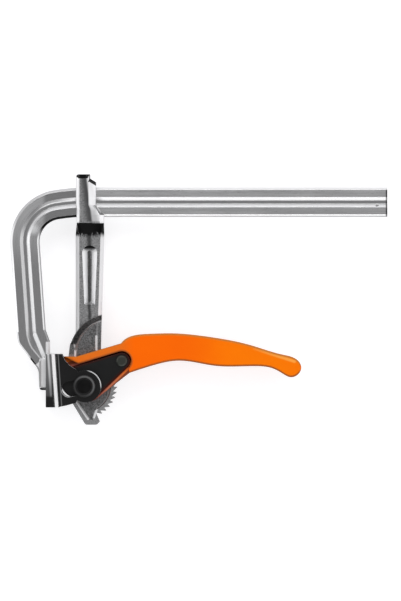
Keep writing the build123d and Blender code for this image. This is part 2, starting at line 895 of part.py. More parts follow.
rivet_sleeve.part.label = "rivet_sleeve"
export_step(rivet_sleeve.part, "parts/rivet_sleeve.step")


# Ratchet pawl, drawn as it stands when engaged and then turned just clear of the teeth
seat_angle = first_tooth + seat_tooth * tooth_pitch
bypass_radius = pawl_reach - pawl_hub_radius


def from_pivot(point):
    """Point given from the main pin, measured from the pawl's pivot."""
    return (point[0] - pawl_pivot[0], point[1] - pawl_pivot[1])


def at_pawl(z=0.0):
    """Plane on the pawl's pivot, turned with the pawl as it rests clear of the teeth."""
    origin = (pin_x + pawl_pivot[0], pin_y + pawl_pivot[1], z)
    return Plane(origin=origin, x_dir=(cos(radians(pawl_engage)), sin(radians(pawl_engage)), 0))


nose_top_angle = seat_angle + nose_width

with BuildPart() as ratchet_pawl:
    with BuildSketch(at_pawl(-pawl_half)):
        with BuildLine():
            Polyline(
                from_pivot(polar(bypass_radius, nose_top_angle)),
                from_pivot(polar(tooth_root_radius + nose_clearance, seat_angle + nose_lead)),
                from_pivot(polar(bypass_radius, seat_angle + nose_back)),
                *pawl_tail,
                (0, 0),
                from_pivot(polar(bypass_radius, pawl_angle)),
            )
            ThreePointArc(
                from_pivot(polar(bypass_radius, pawl_angle)),
                from_pivot(polar(bypass_radius, (pawl_angle + nose_top_angle) / 2)),
                from_pivot(polar(bypass_radius, nose_top_angle)),
            )
        make_face()
        Circle(pawl_hub_radius)
        Circle(pawl_pin_radius + running_fit, mode=Mode.SUBTRACT)
    extrude(amount=2 * pawl_half)

ratchet_pawl.part.label = "ratchet_pawl"
export_step(ratchet_pawl.part, "parts/ratchet_pawl.step")

with BuildPart() as pawl_pin:
    with BuildSketch(at_pawl(-wall_outer)):
        Circle(pawl_pin_radius)
    extrude(amount=2 * wall_outer)

pawl_pin.part.label = "pawl_pin"
export_step(pawl_pin.part, "parts/pawl_pin.step")


# Pawl spring: a coil round the rivet sleeve, one leg up under the spine and one down on the pawl's tail.
# It is drawn about its own axis, with the first leg along -Y, and then turned and set on the sleeve.
coil_radius = sleeve_radius + spring_gap + spring_wire / 2
part_turn = (tail_leg_angle - spine_leg_angle - 180) % 360 / 360
coil_height = spring_pitch * (spring_turns + part_turn)

with BuildPart() as pawl_spring:
    with BuildLine() as spring_path:
        coil = Helix(spring_pitch, coil_height, coil_radius)
        spine_leg = Line(coil @ 0 - (coil % 0) * spine_leg_length, coil @ 0)
        Line(coil @ 1, coil @ 1 + (coil % 1) * tail_leg_length)
    with BuildSketch(Plane(origin=spine_leg @ 0, z_dir=coil % 0)):
        RegularPolygon(radius=spring_wire / 2, side_count=8)
    sweep(path=spring_path.wire())

spring_seat = Location((pin_x + rivet_x, pin_y + rivet_y, -coil_height / 2), (0, 0, spine_leg_angle + 90))
seated_spring = pawl_spring.part.moved(spring_seat)
seated_spring.label = "pawl_spring"
export_step(seated_spring, "parts/pawl_spring.step")
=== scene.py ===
from math import cos, radians, sin
import bpy
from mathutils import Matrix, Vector


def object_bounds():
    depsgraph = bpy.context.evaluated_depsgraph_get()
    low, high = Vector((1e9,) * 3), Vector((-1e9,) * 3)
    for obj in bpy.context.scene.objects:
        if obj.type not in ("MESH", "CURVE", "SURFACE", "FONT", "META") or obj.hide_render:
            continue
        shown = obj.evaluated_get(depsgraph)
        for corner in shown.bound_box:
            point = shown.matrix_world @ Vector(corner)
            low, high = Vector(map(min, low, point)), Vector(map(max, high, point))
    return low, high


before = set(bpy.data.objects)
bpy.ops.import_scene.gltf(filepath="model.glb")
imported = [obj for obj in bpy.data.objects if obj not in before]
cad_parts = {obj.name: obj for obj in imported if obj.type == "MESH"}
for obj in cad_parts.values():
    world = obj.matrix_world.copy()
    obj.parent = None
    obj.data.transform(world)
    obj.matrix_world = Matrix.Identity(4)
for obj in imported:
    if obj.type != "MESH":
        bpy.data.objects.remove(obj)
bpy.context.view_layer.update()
print("frame loaded:", len(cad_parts), "nodes")


def grey(value):
    return (value, value, value * 1.01, 1.0)


def put(tree, kind, **settings):
    node = tree.nodes.new(kind)
    for key, value in settings.items():
        setattr(node, key, value)
    return node


def feed(tree, socket, value):
    # a socket is joined, anything else is written on the input itself
    if isinstance(value, bpy.types.NodeSocket):
        tree.links.new(value, socket)
    else:
        socket.default_value = value


def sums(tree, operation, *values, clamp=False):
    node = put(tree, "ShaderNodeMath", operation=operation, use_clamp=clamp)
    for index, value in enumerate(values):
        feed(tree, node.inputs[index], value)
    return node.outputs[0]


def product(tree, first, *others):
    for other in others:
        first = sums(tree, "MULTIPLY", first, other)
    return first


def ramp(tree, value, low, high, toLow=0.0, toHigh=1.0):
    # soft step from toLow to toHigh
    node = put(tree, "ShaderNodeMapRange", interpolation_type="SMOOTHSTEP")
    for index, entry in enumerate((value, low, high, toLow, toHigh)):
        feed(tree, node.inputs[index], entry)
    return node.outputs["Result"]


def band(tree, value, low, high, soft):
    # 1 between low and high, with soft ends
    rise = ramp(tree, value, low - soft, low + soft)
    fall = ramp(tree, value, high - soft, high + soft, 1.0, 0.0)
    return product(tree, rise, fall)


def blendColour(tree, mask, first, second):
    node = put(tree, "ShaderNodeMix", data_type="RGBA")
    feed(tree, node.inputs["Factor"], mask)
    feed(tree, node.inputs[6], first)
    feed(tree, node.inputs[7], second)
    return node.outputs[2]


def place(tree):
    # coordinates of the frame in metres, which move with the piece
    return put(tree, "ShaderNodeTexCoord").outputs["Object"]


def facing(tree):
    # which way a surface faces, turning with the piece
    return put(tree, "ShaderNodeTexCoord").outputs["Normal"]


def parts(tree, vector):
    node = put(tree, "ShaderNodeSeparateXYZ")
    feed(tree, node.inputs[0], vector)
    return node.outputs[0], node.outputs[1], node.outputs[2]


def joined(tree, x, y, z):
    node = put(tree, "ShaderNodeCombineXYZ")
    for index, value in enumerate((x, y, z)):
        feed(tree, node.inputs[index], value)
    return node.outputs[0]


def distance(tree, x, y, centreX, centreY):
    dx = sums(tree, "SUBTRACT", x, centreX)
    dy = sums(tree, "SUBTRACT", y, centreY)
    return sums(tree, "SQRT", sums(tree, "ADD", product(tree, dx, dx), product(tree, dy, dy)))


def lean(tree, x, y, spot, direction):
    # how far a place lies from a spot, measured along a direction
    acrossX = product(tree, sums(tree, "SUBTRACT", x, spot[0]), direction[0])
    acrossY = product(tree, sums(tree, "SUBTRACT", y, spot[1]), direction[1])
    return sums(tree, "ADD", acrossX, acrossY)


def besideLine(tree, x, y, start, end):
    # distance from the straight line between two spots
    run = (end[0] - start[0], end[1] - start[1])
    share = sums(tree, "DIVIDE", lean(tree, x, y, start, run), run[0] ** 2 + run[1] ** 2, clamp=True)
    awayX = sums(tree, "SUBTRACT", sums(tree, "SUBTRACT", x, start[0]), product(tree, share, run[0]))
    awayY = sums(tree, "SUBTRACT", sums(tree, "SUBTRACT", y, start[1]), product(tree, share, run[1]))
    return distance(tree, awayX, awayY, 0.0, 0.0)


def newGroup(name, inputs, outputs):
    group = bpy.data.node_groups.new(name, "ShaderNodeTree")
    for label, kind, value in inputs:
        socket = group.interface.new_socket(name=label, in_out="INPUT", socket_type=kind)
        if value is not None:
            socket.default_value = value
    for label, kind in outputs:
        group.interface.new_socket(name=label, in_out="OUTPUT", socket_type=kind)
    return group, group.nodes.new("NodeGroupInput").outputs, group.nodes.new("NodeGroupOutput").inputs


def makeRoundedEdges():
    # normals rounded over the edges, a mask that is 1 on the edges, and which way each edge faces
    group, given, result = newGroup(
        "roundedEdges",
        [("Radius", "NodeSocketFloat", 0.0005), ("Reach", "NodeSocketFloat", 0.3)],
        [("Mask", "NodeSocketFloat"), ("Normal", "NodeSocketVector"), ("Facing", "NodeSocketVector")],
    )
    rounded = put(group, "ShaderNodeBevel", samples=6)
    group.links.new(given["Radius"], rounded.inputs["Radius"])
    agreement = put(group, "ShaderNodeVectorMath", operation="DOT_PRODUCT")
    group.links.new(rounded.outputs[0], agreement.inputs[0])
    group.links.new(put(group, "ShaderNodeNewGeometry").outputs["Normal"], agreement.inputs[1])
    bend = sums(group, "SUBTRACT", 1.0, agreement.outputs["Value"])
    group.links.new(ramp(group, bend, 0.0, given["Reach"]), result["Mask"])
    group.links.new(rounded.outputs[0], result["Normal"])
    turned = put(group, "ShaderNodeVectorTransform", vector_type="NORMAL",
                 convert_from="WORLD", convert_to="OBJECT")
    group.links.new(rounded.outputs[0], turned.inputs[0])
    group.links.new(turned.outputs[0], result["Facing"])
    return group


def makeSpeckle():
    # fine grain, and larger patches
    group, given, result = newGroup(
        "speckle",
        [("Vector", "NodeSocketVector", None), ("Size", "NodeSocketFloat", 0.001),
         ("Patches", "NodeSocketFloat", 0.02)],
        [("Grain", "NodeSocketFloat"), ("Patch", "NodeSocketFloat")],
    )
    for label, size, detail in (("Grain", "Size", 4.0), ("Patch", "Patches", 2.0)):
        node = put(group, "ShaderNodeTexNoise")
        group.links.new(given["Vector"], node.inputs["Vector"])
        group.links.new(sums(group, "DIVIDE", 1.0, given[size]), node.inputs["Scale"])
        node.inputs["Detail"].default_value = detail
        group.links.new(node.outputs["Fac"], result[label])
    return group


def makeDrawLines():
    # long fine lines that follow a bar through its bend
    group, given, result = newGroup(
        "drawLines",
        [("Bend X", "NodeSocketFloat", 0.0), ("Bend Y", "NodeSocketFloat", 0.0),
         ("Spacing", "NodeSocketFloat", 0.0004)],
        [("Lines", "NodeSocketFloat"), ("Streaks", "NodeSocketFloat"), ("Across", "NodeSocketFloat"),
         ("Outward", "NodeSocketFloat")],
    )
    x, y, z = parts(group, place(group))
    left = sums(group, "MAXIMUM", sums(group, "SUBTRACT", given["Bend X"], x), 0.0)
    up = sums(group, "MAXIMUM", sums(group, "SUBTRACT", y, given["Bend Y"]), 0.0)
    across = distance(group, left, up, 0.0, 0.0)
    # above 0 where a face looks away from the middle of the bend
    faceX, faceY = parts(group, facing(group))[:2]
    outward = sums(group, "SUBTRACT", product(group, up, faceY), product(group, left, faceX))
    group.links.new(sums(group, "DIVIDE", outward, across), result["Outward"])
    along = product(group, sums(group, "SUBTRACT", x, y), 0.02)
    for label, factor in (("Lines", 1.0), ("Streaks", 0.16)):
        node = put(group, "ShaderNodeTexNoise")
        group.links.new(joined(group, across, along, product(group, z, 0.7)), node.inputs["Vector"])
        group.links.new(sums(group, "DIVIDE", factor, given["Spacing"]), node.inputs["Scale"])
        node.inputs["Detail"].default_value = 3.0
        group.links.new(node.outputs["Fac"], result[label])
    group.links.new(across, result["Across"])
    return group


def makeTurnedRings():
    # rings left by turning, about an axis along Z
    group, given, result = newGroup(
        "turnedRings",
        [("Centre X", "NodeSocketFloat", 0.0), ("Centre Y", "NodeSocketFloat", 0.0),
         ("Spacing", "NodeSocketFloat", 0.0005)],
        [("Rings", "NodeSocketFloat"), ("Radius", "NodeSocketFloat")],
    )
    x, y, z = parts(group, place(group))
    radius = distance(group, x, y, given["Centre X"], given["Centre Y"])
    node = put(group, "ShaderNodeTexNoise")
    group.links.new(joined(group, radius, 0.0, z), node.inputs["Vector"])
    group.links.new(sums(group, "DIVIDE", 1.0, given["Spacing"]), node.inputs["Scale"])
    group.links.new(node.outputs["Fac"], result["Rings"])
    group.links.new(radius, result["Radius"])
    return group


# outline of the cam plates: middle and radius of their end, and the angles of their two long edges
camEdge = {"x": 0.0503, "y": 0.0072, "radius": 0.0056, "top": 16.9, "low": 44.0}


def makeCamGap():
    # distance outside the long edges and the end of the cam plates, below 0 on the plates
    group, _, result = newGroup("camGap", [], [("Gap", "NodeSocketFloat")])
    x, y = parts(group, place(group))[:2]
    end = (camEdge["x"], camEdge["y"])
    topAngle, lowAngle = radians(camEdge["top"] + 90), radians(camEdge["low"] - 90)
    middleAngle = (topAngle + lowAngle) / 2
    overTop = lean(group, x, y, end, (cos(topAngle), sin(topAngle)))
    underLow = lean(group, x, y, end, (cos(lowAngle), sin(lowAngle)))
    forward = lean(group, x, y, end, (cos(middleAngle), sin(middleAngle)))
    reach = distance(group, x, y, *end)
    pastEnd = sums(group, "GREATER_THAN", forward, product(group, reach, cos(topAngle - middleAngle)))
    beside = sums(group, "MAXIMUM", overTop, underLow)
    away = sums(group, "ADD", beside, product(group, pastEnd, sums(group, "SUBTRACT", reach, beside)))
    group.links.new(sums(group, "SUBTRACT", away, camEdge["radius"]), result["Gap"])
    return group


effects = {
    "edges": makeRoundedEdges(),
    "speckle": makeSpeckle(),
    "drawLines": makeDrawLines(),
    "rings": makeTurnedRings(),
    "camGap": makeCamGap(),
}
print("shared effects made")


def effect(tree, name, **values):
    node = put(tree, "ShaderNodeGroup", node_tree=effects[name])
    for key, value in values.items():
        feed(tree, node.inputs[key.replace("_", " ")], value)
    return node.outputs


def startMaterial(name):
    material = bpy.data.materials.new(name)
    material.use_nodes = True
    tree = material.node_tree
    return material, tree, tree.nodes["Principled BSDF"]


def bump(tree, height, strength, depth, normal):
    node = put(tree, "ShaderNodeBump")
    node.inputs["Strength"].default_value = strength
    node.inputs["Distance"].default_value = depth
    feed(tree, node.inputs["Height"], height)
    feed(tree, node.inputs["Normal"], normal)
    return node.outputs[0]


def finishNode(node, material):
    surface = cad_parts[node]
    surface.data.materials.clear()
    surface.data.materials.append(material)


# turned parts: middle of the rings, colours of the face and of the rim, which is worn and also painted
# lighter as a painted highlight, and how much rim shows
mainPin = {"x": 0.0242, "y": -0.0105, "face": grey(0.004), "rim": grey(0.2), "wear": 0.35, "roughness": 0.3}
# the washers also have a ring of painted light: its radii, the side it shows on, and how it grows towards
# that side
washers = {"x": 0.0242, "y": -0.0105, "face": grey(0.015), "rim": grey(0.24), "wear": 0.2, "roughness": 0.25,
           "ring": (0.0060, 0.0073), "ringSide": (0.75, 0.66), "ringGrow": (-0.006, 0.005, 0.25, 1.0)}
rivet = {"x": 0.0503, "y": 0.0072, "face": (0.055, 0.06, 0.052, 1.0), "rim": grey(0.2), "wear": 0.4,
         "roughness": 0.3}
bareSteel = {"x": 0.0503, "y": 0.0072, "face": grey(0.4), "rim": grey(0.6), "wear": 0.5, "roughness": 0.25}

# drawn bar, polished lengthwise, with painted shade in black on the inside of the bend
rail = {
    "steel": grey(0.78),
    "dull": grey(0.62),
    "edge": grey(0.72),
    "leg": grey(0.46),
    "legTop": 0.085,
    "legFade": 0.02,
    # painted shade that the arm's head casts on the stretch of the bar from the bend to the head, and how far
    # along X it goes
    "shade": grey(0.36),
    "shadeFrom": -0.004,
    "shadeTo": 0.0185,
    "shadeFade": 0.013,
    "shadeHeight": (0.098, 0.102),
    "shadeStrength": 0.85,
    # groove: floor, inner flank, and outer flank on the leg, in the bend and along the bar; the flanks are
    # painted light and shade by the way they face, the inner one light and the outer ones darker, darkest in
    # the bend
    "grooveMiddle": 0.026,
    "grooveHalf": 0.0056,
    "floor": grey(0.45),
    "floorLevel": 0.0036,
    "innerFlank": grey(0.76),
    "legFlank": grey(0.42),
    "bendFlank": grey(0.2),
    "barFlank": grey(0.52),
    "bendHeight": (0.1, 0.118),
    "barStart": (0.0, 0.025),
    # tilt that tells groove and chamfers from the flats, and level of the edges round them
    "tilt": (0.94, 0.88),
    "edgeLevel": (0.0038, 0.0044),
    # chamfers, with a painted highlight along the back of the bar and painted shade on the foot of the inner
    # ones
    "chamfer": grey(0.6),
    "backFrom": 0.028,
    "chamferFoot": grey(0.26),
    "footLevel": 0.0041,
    # painted shade in black on the inside of the bend: its tone, where it ends and fades along X, and how far
    # it reaches across
    "shadeBlack": grey(0.008),
    "bendShadeEnd": 0.0182,
    "bendShadeFade": 0.014,
    "bendShadeReach": 0.019,
    # painted highlights: the line down the toe, its corner, the pad, and a patch in the bend
    "paintedHighlight": grey(0.9),
    "toeLine": ((-0.0104, 0.0252), (-0.0043, 0.0105)),
    "toeLineHalf": 0.0014,
    "toeCorner": (0.0115, 0.0205),
    "toeCornerX": -0.0028,
    # pad: its low end, its slanted top edge, its end along X, and the painted shade along the edge on its far
    # side
    "padLow": -0.0112,
    "padTop": ((-0.0042, 0.0098), (-0.69, 0.72)),
    "padEnd": (0.001, 0.0),
    "padOutline": grey(0.3),
    "padOutlineX": (-0.002, -0.004),
    # how much less metallic the painted highlights are
    "highlightMatte": 0.88,
    "patch": (-0.0113, 0.0993),
    "patchReach": 0.0055,
    "patchEdge": (0.0215, 0.0205),
    # darkened end of the bar
    "endX": 0.2352,
    "endTone": grey(0.12),
    "roughness": 0.22,
    "lineRoughness": 0.14,
    "bendX": 0.0055,
    "bendY": 0.0915,
    "lineSpacing": 0.00022,
    "lineDepth": 0.00002,
    "edgeRadius": 0.0005,
}


def makeRailSteel():
    material, tree, shader = startMaterial("drawnSteel")
    x, y, z = parts(tree, place(tree))
    faceY, faceZ = parts(tree, facing(tree))[1:]
    lines = effect(tree, "drawLines", Bend_X=rail["bendX"], Bend_Y=rail["bendY"], Spacing=rail["lineSpacing"])
    edges = effect(tree, "edges", Radius=rail["edgeRadius"], Reach=0.25)
    spots = effect(tree, "speckle", Vector=place(tree), Size=0.0006, Patches=0.03)
    level = sums(tree, "ABSOLUTE", z)
    wear = sums(tree, "ADD", product(tree, lines["Streaks"], 0.6), product(tree, spots["Patch"], 0.4))
    tone = blendColour(tree, ramp(tree, wear, 0.35, 0.65), rail["dull"], rail["steel"])
    onLeg = ramp(tree, y, rail["legTop"] + rail["legFade"], rail["legTop"] - rail["legFade"])
    tone = blendColour(tree, onLeg, tone, rail["leg"])
    # painted shade of the arm's head on the start of the bar
    shaded = product(tree, ramp(tree, x, rail["shadeFrom"] - 0.002, rail["shadeFrom"] + 0.002),
                     ramp(tree, x, rail["shadeTo"] + rail["shadeFade"], rail["shadeTo"]),
                     ramp(tree, y, *rail["shadeHeight"]))
    tone = blendColour(tree, product(tree, shaded, rail["shadeStrength"]), tone, rail["shade"])
    upperEdge = product(tree, edges["Mask"], ramp(tree, level, *rail["edgeLevel"]))
    tone = blendColour(tree, upperEdge, tone, rail["edge"])
    # groove and chamfers, with painted light and shade on the flanks and chamfers by the way they face
    tilted = ramp(tree, sums(tree, "ABSOLUTE", faceZ), *rail["tilt"])
    fromMiddle = sums(tree, "ABSOLUTE", sums(tree, "SUBTRACT", lines["Across"], rail["grooveMiddle"]))
    grooved = ramp(tree, fromMiddle, rail["grooveHalf"], rail["grooveHalf"] - 0.0005)
    outer = blendColour(tree, ramp(tree, y, *rail["bendHeight"]), rail["legFlank"], rail["bendFlank"])
    outer = blendColour(tree, ramp(tree, x, *rail["barStart"]), outer, rail["barFlank"])
    flank = blendColour(tree, ramp(tree, lines["Outward"], -0.1, 0.1), outer, rail["innerFlank"])
    foot = product(tree, ramp(tree, lines["Outward"], 0.0, -0.2),
                   ramp(tree, level, rail["footLevel"] + 0.00015, rail["footLevel"] - 0.00015))
    chamfer = blendColour(tree, foot, rail["chamfer"], rail["chamferFoot"])
    tone = blendColour(tree, tilted, tone, blendColour(tree, grooved, chamfer, flank))
    onFloor = product(tree, grooved,
                      ramp(tree, level, rail["floorLevel"] + 0.0002, rail["floorLevel"] - 0.0002))
    tone = blendColour(tree, onFloor, tone, rail["floor"])
    tone = blendColour(tree, ramp(tree, x, rail["endX"] - 0.0006, rail["endX"]), tone, rail["endTone"])
    # painted shade in black on the down-facing inner edge of the bend, fading out down the leg
    inBend = ramp(tree, x, rail["bendShadeEnd"] + rail["bendShadeFade"], rail["bendShadeEnd"])
    inner = ramp(tree, lines["Across"], rail["bendShadeReach"] + 0.0004, rail["bendShadeReach"] - 0.0004)
    inward = product(tree, ramp(tree, faceY, -0.1, -0.35), inBend, inner)
    tone = blendColour(tree, inward, tone, rail["shadeBlack"])
    # painted highlights
    toeLine = ramp(tree, besideLine(tree, x, y, *rail["toeLine"]),
                   rail["toeLineHalf"] + 0.0004, rail["toeLineHalf"] - 0.0003)
    toeCorner = product(tree, ramp(tree, x, rail["toeCornerX"] - 0.0004, rail["toeCornerX"] + 0.0004),
                        band(tree, y, *rail["toeCorner"], 0.0004))
    overPad = lean(tree, x, y, *rail["padTop"])
    pad = product(tree, ramp(tree, y, rail["padLow"] - 0.0003, rail["padLow"] + 0.0003),
                  ramp(tree, overPad, 0.0005, -0.0005), ramp(tree, x, *rail["padEnd"]))
    patch = ramp(tree, distance(tree, x, y, *rail["patch"]), rail["patchReach"], 0.001, 0.0, 0.5)
    patch = product(tree, patch, ramp(tree, lines["Across"], *rail["patchEdge"]))
    back = product(tree, tilted, ramp(tree, lines["Outward"], 0.2, 0.5), sums(tree, "SUBTRACT", 1.0, grooved),
                   ramp(tree, x, rail["backFrom"], rail["backFrom"] + 0.01, 0.0, 0.9))
    paintedHighlight = sums(tree, "MAXIMUM", sums(tree, "MAXIMUM", toeLine, toeCorner),
                  sums(tree, "MAXIMUM", pad, patch))
    paintedHighlight = sums(tree, "MAXIMUM", paintedHighlight, back)
    tone = blendColour(tree, paintedHighlight, tone, rail["paintedHighlight"])
    # painted shade along the pad's edges that face left
    edgeX = parts(tree, edges["Facing"])[0]
    outline = product(tree, pad, ramp(tree, edgeX, -0.15, -0.5), ramp(tree, x, *rail["padOutlineX"]))
    feed(tree, shader.inputs["Base Color"], blendColour(tree, outline, tone, rail["padOutline"]))
    # the painted highlights are made less metallic
    lightened = product(tree, paintedHighlight, rail["highlightMatte"])
    feed(tree, shader.inputs["Metallic"], sums(tree, "SUBTRACT", 1.0, lightened))
    rough = sums(tree, "ADD", rail["roughness"], product(tree, lines["Lines"], rail["lineRoughness"]))
    feed(tree, shader.inputs["Roughness"], rough)
    feed(tree, shader.inputs["Normal"], bump(tree, lines["Lines"], 0.35, rail["lineDepth"], edges["Normal"]))
    return material


finishNode("profile_rail", makeRailSteel())
print("rail finished")


# drop forging, ground on its flats, with painted shade in black under its collar and round the top of its
# recess
arm = {
    "shank": (grey(0.26), grey(0.5)),
    # the plate is painted darker than the shank as painted shade; the flank, highlight and edge tones are
    # painted highlights, less metallic by the given share
    "plate": (grey(0.13), grey(0.31)),
    "rim": (grey(0.32), grey(0.5)),
    "flank": grey(0.66),
    "paintedHighlight": grey(0.93),
    "highlightMatte": 0.65,
    "edge": grey(0.62),
    # painted shade along the outline of the foot and the teeth, and where it starts along Y
    "underEdge": grey(0.16),
    "footFrom": (-0.034, -0.0355),
    "outlineFrom": (0.0115, 0.0095),
    "outlineStrength": 0.6,
    # colours of painted shade: black under the collar, on the waist's shoulder, and in the line down the
    # shank
    "shadeBlack": grey(0.006),
    "shoulder": (grey(0.015), grey(0.06)),
    "streak": grey(0.06),
    "plateTop": 0.030,
    # where the thick shank takes over from the plate, along Y and by its thickness
    "shankFrom": (0.046, 0.049),
    "shankLevel": (0.0050, 0.0056),
    # plate's rim, level with its faces, and the painted highlights along the walls of the sunk panel
    "rimTop": 0.0115,
    "rimLevel": 0.0043,
    "panelLines": [
        ((0.0325, 0.0150), (0.0325, 0.0243)),
        ((0.0178, 0.0100), (0.0178, 0.0142)),
        ((0.0192, -0.0222), (0.0268, -0.0335)),
        ((0.0328, -0.0270), (0.0308, -0.0325)),
    ],
    "panelLineHalf": 0.0007,
    "panelLine": grey(0.86),
    # levels between which the panel's faces lie
    "faceFrom": (0.0027, 0.0030),
    "faceTo": (0.0048, 0.0046),
    # faint painted highlight in an arc at the foot of the teeth, about the pin
    "toothArc": (0.0172, 0.0186),
    "toothTone": grey(0.5),
    "toothFrom": (0.0322, 0.0334),
    "toothBelow": (-0.006, -0.010),
    "toothStrength": 0.7,
    # painted shade in black under the collar: its low and high edges, how far it fades, and how its ragged
    # edge is stretched and spread
    "collarLow": 0.0966,
    "collarHigh": 0.1034,
    "collarFade": 0.0034,
    "collarStretch": 0.12,
    "collarRagged": 0.009,
    # painted shade in a dark line down the shank: its middle, half its width, its ends, and where it widens
    "streakX": 0.0276,
    "streakHalf": 0.0010,
    "streakWander": 0.0016,
    "streakFrom": (0.034, 0.037),
    "streakTo": (0.101, 0.097),
    "streakWidens": (0.085, 0.089),
    "streakStrength": 0.85,
    # painted shade on the round shoulder of the waist: its middle, its radii, its top and foot, and its
    # levels
    "waistX": 0.042,
    "waistY": 0.0119,
    "waistInner": 0.0242,
    "waistOuter": 0.0280,
    "waistTop": 0.048,
    "waistFoot": 0.0185,
    "waistLevel": (0.0040, 0.0045),
    # front of the head: a painted highlight by its left edge, then painted shade up to its highlit right side
    "headLeft": grey(0.32),
    "headLine": (0.0190, 0.0209),
    "headShade": grey(0.13),
    "headBright": 0.0266,
    "headLean": 0.13,
    "headMiddle": 0.123,
    "headGain": (0.0296, 0.0336, 0.62, 1.0),
    "headLineStrength": 0.85,
    # recess: its low and high ends, where its painted highlights stop, and half its width
    "recessLow": 0.0405,
    "recessHigh": 0.0865,
    "recessHighlightTop": 0.0838,
    "recessHalf": 0.0054,
    # slopes of the recess get wider up the shank
    "slopeRise": (0.055, 0.078),
    "slopeWidth": (0.0024, 0.0040),
    # painted shade in black above a slanted line near the head: where the line crosses, its slope and its
    # offset
    "stepX": 0.0276,
    "stepY": 0.1347,
    "stepFall": 0.61,
    "stepBand": 0.0026,
    "roughness": 0.3,
    "grainRoughness": 0.22,
    "grainSize": 0.0009,
    "grainDepth": 0.00012,
    "edgeRadius": 0.0006,
}


